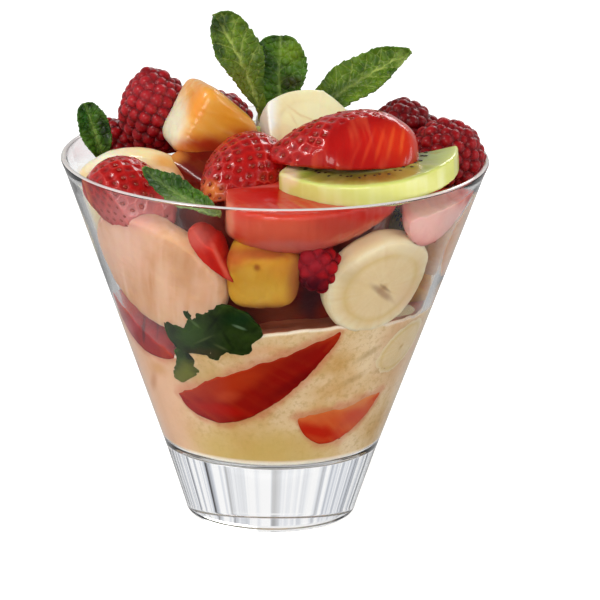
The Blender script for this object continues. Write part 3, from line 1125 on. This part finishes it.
def heap_piece(name, kind, position, axis, face, size, seed):
    """One piece of the heap, cast from a field in its own axes and then kept in the glass."""
    axes = frame_of(axis, face)
    position = np.array(position)
    cuts = [(axes @ (point - position), axes @ unit(way)) for point, way in CUTS.get(name, [])]
    front = position[1] < 10.0
    directions, quads = quad_sphere((FRONT_STEPS if front else BACK_STEPS)[kind])

    def cut_by(points, field):
        for point, normal in cuts:
            field = smooth_max(field, (points - point) @ normal, 1.0)
        return field

    def behind_cuts(centre, depth):
        """The centre, moved so that every cut is at least the depth away."""
        for point, normal in cuts:
            centre = centre - normal * max(0.0, (centre - point) @ normal + depth)
        return centre

    if kind == "strawberry":
        length, width = size

        def cut_field(points):
            return cut_by(points, smooth_max(points[:, 2], -points[:, 0] - 0.46 * length, 1.0))

        def field(points):
            return smooth_max(berry_field(points, length, width), cut_field(points), 1.2)

        centre = behind_cuts(np.array([-0.04 * length, 0.0, -width / 5]), 2.5)
        points = cast(field, centre, (length / 2, width / 2, width / 3), directions)
        peeled = None
        if name in PEELED:
            bare_point, bare_side = (np.array(value) for value in PEELED[name])

            def peeled(points):
                return (points @ axes + position - bare_point) @ unit(bare_side)

        made = strawberry_surface(points, quads, length, width, cut_field, seed, peeled)
    elif kind == "raspberry":
        length, width = size
        centres, radii = drupelets(length, width, seed)

        def field(points):
            squares = (points**2).sum(1)[:, None] + (centres**2).sum(1)[None] - 2 * points @ centres.T
            body = (row_lengths(points / (length / 2, width / 2, width / 2)) - 0.84) * width / 2
            return np.minimum((np.sqrt(np.maximum(squares, 0.0)) - radii).min(1), body)

        points = cast(field, np.zeros(3), (length / 2, width / 2, width / 2), directions)
        near, next_near = nearest_two(points, centres)
        made = points, quads, {"bead": smoothstep(0.0, 1.5, next_near - near)}
    elif kind == "disc":
        length, width, depth = size
        kiwi = name.startswith("kiwi")

        def field(points):
            whole = disc_field(points, length, width, depth, 8 if kiwi else 5, 0.15 if kiwi else 0.35, 1.0)
            return cut_by(points, whole)

        points = cast(field, behind_cuts(np.zeros(3), 3.0), (length / 2, width / 2, depth / 2), directions)
        made = slice_piece(points, quads, name.split("_")[0], size, seed)
        if kiwi:
            heart = KIWI_HEART if name == "kiwi_slice" else 0.0
            made[2]["rim"] = np.maximum(made[2]["rim"] - heart, 0.0) / (1 - heart)
            made = with_kiwi_seeds(made, size, seed, heart, cut_by)
    elif kind == "crescent":
        length, height, depth = size
        sag = height * 0.4 * (1 - directions[:, 0] ** 2)
        points = directions * (length / 2, depth / 2, height / 2)
        points[:, 2] += sag
        made = chunk_piece(points, quads, seed, (9.0, 1.0, 1.0))
    else:
        top = name == "mango_chunk_top"
        planes = chunk_planes(*(np.array(size) * (TOP_CHUNK_GROWTH if top else 1.0)), seed, 0.30)

        def field(points):
            return facet_field(points, planes, 5 if top else 7)

        points = cast(field, np.zeros(3), np.array(size) / 2, directions)
        made = chunk_piece(points, quads, seed, (7.0, 0.9, 0.9))
    points, quads, attributes = made
    if name == "kiwi_slice":
        points[:, 2] += KIWI_BEND * (points[:, 0] / (size[0] / 2)) ** 2 - KIWI_SINK
    points = kept_in_glass(points @ axes + position)
    paint_heap(name, points, attributes)
    add_mesh(name, points, quads, attributes, look_of(name))


def paint_heap(name, points, attributes):
    """Juice and pale cuts that single pieces of the heap show, by their place in the part."""
    x, _, z = points.T
    if name == "mango_chunk_top":
        low = 96.0 - 0.10 * (x + 20) + 0.8 * noise(points, 3.0, 5)
        attributes["stain"] = smoothstep(low, low - 5.0, z) * 0.8
    elif name == "mango_chunk_centre":
        attributes["stain"] = np.full(len(points), 0.5)
    elif name == "banana_wedge_top":
        attributes["stain"] = smoothstep(97.0, 93.0, z + 0.6 * noise(points, 2.5, 7)) * 0.5
    elif name == "strawberry_piece_centre":
        attributes["pale"] = smoothstep(-3.0, 0.0, 86.5 - z) * (1 - attributes["seed"])


def wall_piece(name, kind, azimuth, height, turn, length, width, depth, seed):
    """One piece against the glass, cast on a flat wall and then laid on the inside of the glass."""
    front = abs(azimuth) < 80
    directions, quads = quad_sphere(WALL_STEPS[kind][0 if front else 1])
    raised = np.array([0.0, 0.0, depth / 2])
    half = (length / 2, width / 2, depth / 2)

    if kind == "wall_strawberry":

        def cut_field(points):
            wavy = points[:, 1] + layered_noise(points * [1, 0, 0], 4.0, seed + 21)
            return smooth_max(wavy, smooth_max(-points[:, 2], -points[:, 0] - 0.49 * length, 0.5), 0.8)

        def field(points):
            deepened = points * [1.0, 1.0, width / 2 / depth]
            return smooth_max(berry_field(deepened, length, width), cut_field(points), 0.9)

        centre = np.array([-0.05 * length, -width / 5, depth / 3])
        points = cast(field, centre, (length / 2, width / 3, depth / 2), directions)
        made = strawberry_surface(points, quads, length, width, cut_field, seed)
    elif kind == "wall_disc":
        kiwi = name.startswith("kiwi")

        def field(points):
            return disc_field(points - raised, length, width, depth, 8 if kiwi else 5, 0.2, 2.6)

        points = cast(field, raised, half, directions) - raised
        made = slice_piece(points, quads, name.split("_")[0], (length, width, depth), seed)
        if kiwi:
            made = with_kiwi_seeds(made, (length, width, depth), seed, 0.0, lambda places, field: field)
        made = made[0] + raised, *made[1:]
    elif kind == "wall_pad":

        def field(points):
            scaled = points / np.array([length / 2, width / 2, depth / 1.45])
            scaled[:, 2] -= 0.45
            return smooth_max((row_lengths(scaled) - 1) * depth / 2, -points[:, 2], 0.8)

        points = cast(field, np.array([0, 0, depth / 3]), half, directions)
        made = chunk_piece(points, quads, seed, (1.3, 9.0, 1.3))
    else:
        planes = chunk_planes(length, width, depth, seed, 0.0)

        def field(points):
            return smooth_max(facet_field(points - raised, planes, 4), -points[:, 2], 0.6)

        points = cast(field, raised, half, directions)
        made = chunk_piece(points, quads, seed, (1.2, 6.0, 1.2))
    points, quads, attributes = made
    ragged = 0.13 * layered_noise(points, 1.6, seed + 11)
    points = on_wall(points, azimuth, height, turn, FRUIT_REACH + ragged)
    add_mesh(name, points, quads, attributes, look_of(name))


# Leaves


LEAF_ROWS, LEAF_COLUMNS = 150, 61
SIDE_VEINS = 7
TEETH = 13
TOOTH_DEPTH = 0.07
LEAF_CELL = 2.0  # how far apart the puckers between the small veins are
BLUNT_LEAVES = {"mint_leaf_tall": 0.42, "mint_leaf_middle": 0.36, "mint_leaf_far_left": 0.36}
POINTED = 0.7
MIN_TOOTHED = 0.35  # leaves with a lower power at the tip have a smooth edge


def leaf_outline(share, widest, tip_power):
    """Half width of a mint leaf, as a share of its greatest, from its base (0) to its tip (1)."""
    stretched = np.clip(share, 1e-4, 1.0) ** (math.log(0.5) / math.log(widest))
    power = np.where(share > widest, tip_power, POINTED if tip_power >= MIN_TOOTHED else tip_power)
    return np.maximum(0.05, np.abs(np.sin(math.pi * stretched)) ** power)


def leaf_sheet(length, width, widest, tip_power, seed):
    """A flat leaf's grid: share along, side from -1 to 1, points, how much of a vein, and how puffed up."""
    share, side = np.meshgrid(np.linspace(0, 1, LEAF_ROWS), np.linspace(-1, 1, LEAF_COLUMNS), indexing="ij")
    share, side = share.reshape(-1), side.reshape(-1)
    outline = leaf_outline(np.clip(share, 0.004, 0.996), widest, tip_power)
    teeth = (share * TEETH + 0.3) % 1.0
    toothed = TOOTH_DEPTH * (tip_power >= MIN_TOOTHED)
    outline = outline * (1 + toothed * (teeth - 0.5) * smoothstep(0.12, 0.3, share) * np.abs(side) ** 4)
    y = side * width / 2 * outline
    rise = np.abs(y) / width
    order = (share - 0.62 * rise + 0.5 * rise**2) * SIDE_VEINS + 0.35 * (side > 0)
    gap = np.abs((order + 0.5) % 1.0 - 0.5)
    thin = np.clip(1.15 - np.abs(side), 0.2, 1.0)
    side_vein = np.exp(-((gap / (0.085 * thin)) ** 2))
    side_vein *= smoothstep(0.02, 0.08, share) * (1 - smoothstep(0.85, 0.97, share))
    midrib = np.exp(-((y / (0.32 + 0.35 * (1 - share))) ** 2))
    place = columns(share * length, y, 0.0)
    random = np.random.default_rng(seed)
    cells = np.meshgrid(np.arange(0, length, LEAF_CELL), np.arange(-width / 2, width / 2, LEAF_CELL), [0.0])
    cells = np.stack(cells, axis=-1).reshape(-1, 3)
    cells[:, :2] += random.uniform(-0.75, 0.75, (len(cells), 2))
    near, next_near = nearest_two(place, cells)
    net = (1 - smoothstep(0.0, 0.34, next_near - near)) * (1 - smoothstep(0.86, 1.0, np.abs(side)))
    vein = np.clip(midrib + 0.85 * side_vein + 0.5 * net, 0, 1)
    ribs = (1 - np.exp(-((gap / 0.22) ** 2))) * smoothstep(0.03, 0.2, np.abs(side))
    ribs *= 1 - 0.5 * np.abs(side) ** 3
    pillow = 0.55 * ribs + 0.6 * smoothstep(0.0, 1.2, next_near - near)
    return share, side, place, vein, pillow


def free_leaf(name, base, tip, normal, width, widest, arch, cup, seed):
    span = np.array(tip, float) - base
    length = float(np.linalg.norm(span))
    tip_power = BLUNT_LEAVES.get(name, POINTED)
    share, side, place, vein, pillow = leaf_sheet(length, width, widest, tip_power, seed)
    wave = 0.45 * np.sin(share * 15.0 + seed) * np.abs(side)
    place[:, 2] = arch * np.sin(math.pi * share) + cup * side**2 + wave + 0.5 * pillow - 0.25 * vein
    place[:, 2] += 0.35 * layered_noise(place, 5.0, seed)
    middle = place @ frame_of(span, normal) + base
    sheet = grid_quads(np.arange(LEAF_ROWS * LEAF_COLUMNS).reshape(LEAF_ROWS, LEAF_COLUMNS))
    out = normals_of(middle, sheet) * LEAF_THICKNESS / 2
    points, quads = grid_solid(middle + out, middle - out, LEAF_ROWS, LEAF_COLUMNS)
    attributes = {"vein": np.tile(vein, 2), "base": np.tile(0.6 * (1 - smoothstep(0.0, 0.3, share)), 2)}
    add_mesh(name, kept_in_glass(points, 0.0), quads, attributes, look_of(name))


def sunk_leaf(name, azimuth, height, turn, length, width, seed):
    """A crumpled leaf that cream covers in places."""
    _, side, place, vein, pillow = leaf_sheet(length, width, 0.5, 0.3, seed)
    place[:, 0] -= length / 2
    crumple = 0.34 * layered_noise(place, 2.6, seed) - 0.15 * pillow + 0.3 * side**6 + 0.08
    place[:, 2] = np.maximum(crumple, 0.0)
    place += 1.1 * columns(noise(place, 3.4, seed + 1), noise(place, 3.4, seed + 2) * (0.5 + side**2), 0.0)
    near, far = (
        on_wall(sheet, azimuth, height, turn, FRUIT_REACH + 0.02)
        for sheet in (place, place + [0.0, 0.0, SUNK_THICKNESS])
    )
    points, quads = grid_solid(far, near, LEAF_ROWS, LEAF_COLUMNS)
    add_mesh(name, points, quads, {"vein": np.tile(vein, 2) * 0.5}, look_of(name))


# Cream, core and glass


def cream_piece():
    steps, wall_rows, top_rows = 300, 130, 70
    low = FLOOR_HEIGHT + 0.06
    foot = float(inner_radius(FLOOR_HEIGHT + FLOOR_FILLET))
    top_edge = float(inner_radius(CREAM_LEVEL))
    share = np.linspace(1, 0, wall_rows)
    fillet = np.linspace(0, math.pi / 2, 10)[1:]
    radii = np.concatenate([
        np.linspace(0.1, top_edge, top_rows),
        np.full(wall_rows, top_edge),
        foot - (FLOOR_FILLET + 1.0) * (1 - np.cos(fillet)),
        np.linspace(foot - FLOOR_FILLET - 1.0, 0.1, 14)[1:],
    ])
    floor_top = FLOOR_HEIGHT + FLOOR_FILLET
    heights = np.concatenate([
        np.full(top_rows, CREAM_LEVEL),
        floor_top + share * (CREAM_LEVEL - floor_top),
        floor_top - FLOOR_FILLET * np.sin(fillet) + 0.06,
        np.full(13, low),
    ])
    points, quads, caps = turned(radii, heights, steps)
    azimuth = np.degrees(np.arctan2(points[:, 0], -points[:, 1]))
    level = cream_level(azimuth) + 0.5 * layered_noise(points * [1, 1, 0], 3.0, 31)
    row = np.arange(len(points)) // steps
    on_top, on_side = row < top_rows, (row >= top_rows) & (row < top_rows + wall_rows)
    out = np.hypot(points[:, 0], points[:, 1]) / top_edge
    lumps = 0.9 * layered_noise(points * [1, 1, 0], 6.0, 32, 4)
    top = CREAM_LEVEL - 3.0 + out**2 * (level - CREAM_LEVEL + 3.0) + lumps * (1 - out**4)
    rise = (points[:, 2] - floor_top) / (CREAM_LEVEL - floor_top)
    side_level = floor_top + rise * (level - floor_top)
    points[:, 2] = np.where(on_top, top, np.where(on_side, side_level, points[:, 2]))
    lip = np.exp(-((level - points[:, 2]) / 0.45)) * on_side
    ripple = 0.07 * layered_noise(points, 2.2, 33) - 0.5 * lip
    ring = inner_radius(points[:, 2]) + CREAM_REACH + ripple
    scale = np.where(on_top, (inner_radius(level) + CREAM_REACH - 0.4) / top_edge, ring / top_edge)
    scale = np.where(on_top | on_side, scale, 1.0)
    points[:, 0] *= scale
    points[:, 1] *= scale
    across = inner_radius(points[:, 2]) * np.radians(azimuth)
    soft = layered_noise(points, 7.0, 34)
    pink = smoothstep(-14.0, -30.0, across + 4 * soft) * (np.abs(azimuth) < 120) * 0.75
    olive = smoothstep(31.0, 22.0, points[:, 2] + 3 * soft) * smoothstep(26.0, 10.0, np.abs(across + 4)) * 0.8
    stain = smoothstep(0.9, 0.2, level - points[:, 2] + 0.3 * soft) * 0.2 * on_side + 0.85 * on_top
    pale = np.exp(-(((level - points[:, 2] - 0.5) / 0.35) ** 2)) * on_side * 0.8
    pale = np.maximum(pale, smoothstep(21.0, 20.2, points[:, 2]))
    stain = stain + stained_near_fruit(points, on_side)
    attributes = {"pink": pink, "olive": olive, "stain": np.clip(stain, 0, 1), "pale": pale}
    add_mesh("cream", points, quads, attributes, look_of("cream"), caps)


def stained_near_fruit(points, on_side):
    """Juice in the cream round the strawberries that lie against the glass."""
    total = np.zeros(len(points))
    azimuth = np.arctan2(points[:, 0], -points[:, 1])
    for name, kind, middle, height, turn, length, width, _ in WALL_PIECES:
        if kind != "wall_strawberry":
            continue
        off = (azimuth - math.radians(middle) + math.pi) % math.tau - math.pi
        across = off * float(inner_radius(height))
        up = (points[:, 2] - height) / math.cos(SLOPE)
        turned_by = math.radians(turn)
        x = across * math.cos(turned_by) + up * math.sin(turned_by)
        y = -across * math.sin(turned_by) + up * math.cos(turned_by)
        outside = np.maximum(berry_field(columns(x, y, 0.0), length, width), y)
        outside = outside + 0.8 * noise(points, 2.0, 41)
        total += 0.5 * (1 - smoothstep(0.0, 2.6, outside)) * on_side
    return total


def core_piece():
    steps, rows = 120, 60
    base, shoulder = CREAM_LEVEL - 6.0, CORE_TOP - 8.0
    heights = np.array([CORE_TOP, CORE_TOP - 3.0, shoulder, base, base])
    radii = np.array([0.1, 20.0, inner_radius(shoulder) - CORE_INSET, inner_radius(base) - CORE_INSET, 0.1])
    run = np.concatenate([[0], np.cumsum(np.hypot(np.diff(radii), np.diff(heights)))])
    place = np.linspace(0, run[-1], rows)
    points, quads, caps = turned(np.interp(place, run, radii), np.interp(place, run, heights), steps)
    lumps = 1.1 * layered_noise(points, 8.0, 51, 4)
    points = points + normals_of(points, quads) * (lumps - 1.0)[:, None]
    add_mesh("fruit_core", points, quads, {}, look_of("fruit_core"), caps)


def glass_piece():
    """The glass: a straight cone with a round rim and a thick clear foot."""
    rim = np.linspace(0, math.pi, 13)
    rim_radius = (WALL / math.cos(SLOPE) - RIM_TAPER) / 2
    rim_middle = RIM_RADIUS - 0.1 - rim_radius
    rim_height = GLASS_HEIGHT - rim_radius
    floor_top = FLOOR_HEIGHT + FLOOR_FILLET
    floor_edge = float(inner_radius(floor_top))
    fillet = np.linspace(0, math.pi / 2, 9)
    corner = np.linspace(0, math.pi / 2, 7)
    inside = np.linspace(floor_top, rim_height, 26)[1:-1]
    outside = np.linspace(rim_height, SHOULDER_HEIGHT + 1.8, 30)[1:]
    shoulder = SHOULDER_HEIGHT - np.linspace(-1, 1, 9) * 1.6
    foot = np.linspace(SHOULDER_HEIGHT - 1.8, FOOT_BEVEL + 0.2, 8)
    bottom = np.linspace(FOOT_RADIUS - 1.6, 0.1, 14)
    parts = [
        (np.linspace(0.1, floor_edge - FLOOR_FILLET - 1.0, 8)[:-1], np.full(7, FLOOR_HEIGHT)),
        (floor_edge - (FLOOR_FILLET + 1.0) * (1 - np.sin(fillet)), floor_top - FLOOR_FILLET * np.cos(fillet)),
        (inside_radius(inside), inside),
        (rim_middle - rim_radius * np.cos(rim), rim_height + rim_radius * np.sin(rim)),
        (outer_radius(outside), outside),
        (0.5 * outer_radius(shoulder - 0.8) + 0.5 * outer_radius(shoulder + 0.8), shoulder),
        (outer_radius(foot), foot),
        (outer_radius(FOOT_BEVEL) - FOOT_BEVEL * (1 - np.cos(corner)), FOOT_BEVEL * (1 - np.sin(corner))),
        (bottom, 0.9 * smoothstep(0.0, 9.0, FOOT_RADIUS - 1.6 - bottom)),
    ]
    radii, heights = (np.concatenate(values) for values in zip(*parts))
    points, quads, caps = turned(radii, heights, 224)
    made = add_mesh("glass", points, quads, {}, look_of("glass"), caps)
    made.data.materials.append(rim_look())
    middles = points[quads, 2].mean(1)
    slots = np.append(middles > rim_height + 0.3, [False, False]).astype(np.int32)
    made.data.polygons.foreach_set("material_index", slots)


# Floor, light and camera


WHITE = (1.0, 1.0, 1.0, 1.0)
FLOOR_SIZE = 4.0  # half its side, in metres


def add_floor():
    """A pale floor. Neither gloss nor glass shows it: what stood round the real one was dark."""
    look = Look("floor_pale")
    shade = look.ramp(look.noise(60.0, detail=2.0), [(0.3, tint(246, 246, 245)), (0.7, tint(250, 250, 249))])
    look.finish(Base_Color=shade, Roughness=0.8, Emission_Color=WHITE, Emission_Strength=0.42)
    mesh = bpy.data.meshes.new("floor")
    corners = [(x * FLOOR_SIZE, y * FLOOR_SIZE, 0) for x, y in ((-1, -1), (1, -1), (1, 1), (-1, 1))]
    mesh.from_pydata(corners, [], [(0, 1, 2, 3)])
    mesh.materials.append(look.material)
    floor = bpy.data.objects.new("floor", mesh)
    floor.location.z = -0.0002
    floor.visible_glossy = False
    floor.visible_transmission = False
    bpy.context.scene.collection.objects.link(floor)


def add_world():
    """White all round to the eye. Gloss mirrors a dim room that is paler above, behind and at both sides.
    Clear glass shows white, with upright streaks just above the horizon, and downwards the same dim room
    where the light has been mirrored on its way."""
    world = bpy.data.worlds.new("studio")
    world.use_nodes = True
    bpy.context.scene.world = world
    nodes = Nodes(world.node_tree)
    ways = nodes.node("ShaderNodeLightPath").outputs
    direction = nodes.node("ShaderNodeTexCoord").outputs["Generated"]
    split = nodes.node("ShaderNodeSeparateXYZ")
    nodes.put(split.inputs[0], direction)
    east, north, high = split.outputs
    height = nodes.maths("MULTIPLY_ADD", high, 0.5)
    above = nodes.ramp(height, [(0.49, 0.0), (0.56, 0.04), (1.0, 0.10)])
    left = nodes.ramp(nodes.maths("MULTIPLY", east, -1.0), [(0.40, 0.0), (0.72, 0.5)])
    right = nodes.ramp(east, [(0.62, 0.0), (0.84, 0.65)])
    behind = nodes.ramp(north, [(0.45, 0.0), (0.78, 0.5)])
    sides = nodes.maths("MAXIMUM", nodes.maths("MAXIMUM", left, right), behind)
    mirrored = nodes.maths("MAXIMUM", above, sides)
    turn = nodes.node("ShaderNodeTexNoise", noise_dimensions="1D")
    nodes.put(turn.inputs["W"], nodes.maths("MULTIPLY", nodes.maths("ARCTAN2", east, north), 2.3))
    turn.inputs["Detail"].default_value = 3.0
    tones = [(0.30, tint(40, 36, 32)), (0.38, tint(150, 152, 158)), (0.47, tint(214, 218, 226)), (0.56, 1.0)]
    streaks = nodes.ramp(turn.outputs["Fac"], tones)
    level = nodes.ramp(height, [(0.485, 1.0), (0.50, 0.0), (0.625, 0.0), (0.8, 1.0)])
    ahead = nodes.ramp(north, [(0.90, 0.0), (0.97, 0.55)])
    through = nodes.mix(nodes.maths("MAXIMUM", level, ahead), streaks, WHITE)
    bounced = nodes.maths("GREATER_THAN", ways["Glossy Depth"], 0.5)
    table = nodes.maths("MULTIPLY", bounced, nodes.ramp(height, [(0.30, 1.0), (0.38, 0.0)]))
    through = nodes.mix(table, through, nodes.maths("MAXIMUM", mirrored, 0.05))
    shown = nodes.mix(ways["Is Glossy Ray"], (0.5, 0.5, 0.5, 1.0), mirrored)
    shown = nodes.mix(ways["Is Transmission Ray"], shown, through)
    shown = nodes.mix(ways["Is Camera Ray"], shown, WHITE)
    nodes.put(world.node_tree.nodes["Background"].inputs["Color"], shown)


# Lamps: name, place and size in metres, power and colour. All shine at the middle of the object.
LAMP_TARGET = Vector((0.0, 0.0, 0.07))
LAMPS = [
    ("key", (-0.55, -0.35, 0.75), (0.20, 0.20), 2.9, (1.0, 0.98, 0.95)),
    ("back", (0.35, 0.65, 0.6), (0.5, 0.3), 2.2, (1.0, 1.0, 1.0)),
    ("right", (0.7, -0.3, 0.4), (0.2, 0.4), 0.9, (1.0, 1.0, 1.0)),
    ("front", (-0.15, -0.9, 0.35), (0.35, 0.35), 2.1, (1.0, 0.97, 0.93)),
]


def add_lamp(name, place, size, power, colour):
    data = bpy.data.lights.new(name, "AREA")
    data.shape = "RECTANGLE"
    data.size, data.size_y = size
    data.energy = power
    data.color = colour
    lamp = bpy.data.objects.new(name, data)
    lamp.location = place
    lamp.rotation_euler = (LAMP_TARGET - lamp.location).to_track_quat("-Z", "Y").to_euler()
    bpy.context.scene.collection.objects.link(lamp)


def add_camera():
    """The photograph's view: from the front, a little above the rim's height, with a slight roll."""
    data = bpy.data.cameras.new("camera")
    data.sensor_width = CAMERA_SENSOR
    data.lens = CAMERA_LENS
    data.shift_x, data.shift_y = CAMERA_SHIFT
    camera = bpy.data.objects.new("camera", data)
    axes = camera_axes()
    place = CAMERA_TARGET + axes[2] * CAMERA_DISTANCE
    camera.matrix_world = Matrix.Translation(place) @ Matrix(axes).transposed().to_4x4()
    bpy.context.scene.collection.objects.link(camera)
    bpy.context.scene.camera = camera


def main():
    bpy.context.scene.view_settings.view_transform = "Standard"
    press_looks()
    for index, piece in enumerate(WALL_PIECES):
        wall_piece(*piece, seed=index)
    for index, piece in enumerate(HEAP_PIECES):
        heap_piece(*piece, seed=index)
    for index, leaf in enumerate(LEAVES):
        free_leaf(*leaf, seed=index)
    for index, leaf in enumerate(SUNK_LEAVES):
        sunk_leaf(*leaf, seed=index)
    cream_piece()
    core_piece()
    glass_piece()
    add_floor()
    add_world()
    for lamp in LAMPS:
        add_lamp(*lamp)
    add_camera()


main()
